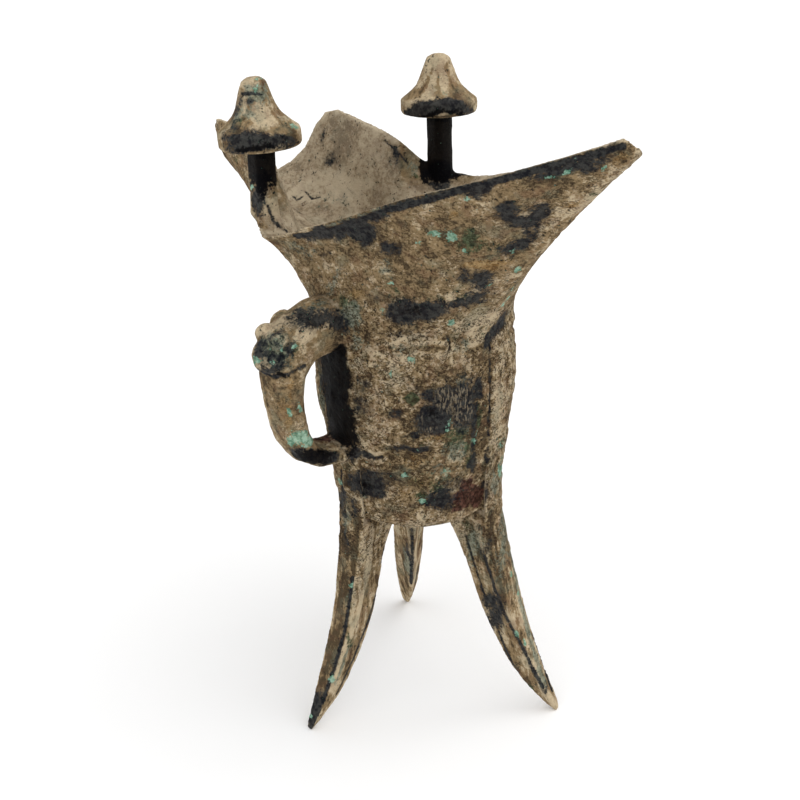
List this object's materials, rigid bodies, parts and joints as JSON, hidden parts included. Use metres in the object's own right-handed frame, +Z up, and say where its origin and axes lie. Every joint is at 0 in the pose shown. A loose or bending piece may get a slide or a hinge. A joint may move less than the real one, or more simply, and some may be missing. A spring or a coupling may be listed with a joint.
{
  "type": "tripod wine vessel",
  "caption": "Archaic cast bronze jue, a wine vessel with spout, pointed tail, capped posts, a strap handle with a beast head and blade legs, heavily patinated.",
  "frame": {"origin": "on the floor, under the middle of the bounding box", "axes": "+Z up; +X towards the pointed tail, -X towards the pouring spout; -Y towards the handle"},
  "size_m": [0.1792, 0.0996, 0.2031],
  "materials": {
    "bronze": "excavated bronze with matt clay crust, dark patina and green corrosion"
  },
  "bodies": {
    "root": {"jue": "bronze"}
  },
  "joints": []
}
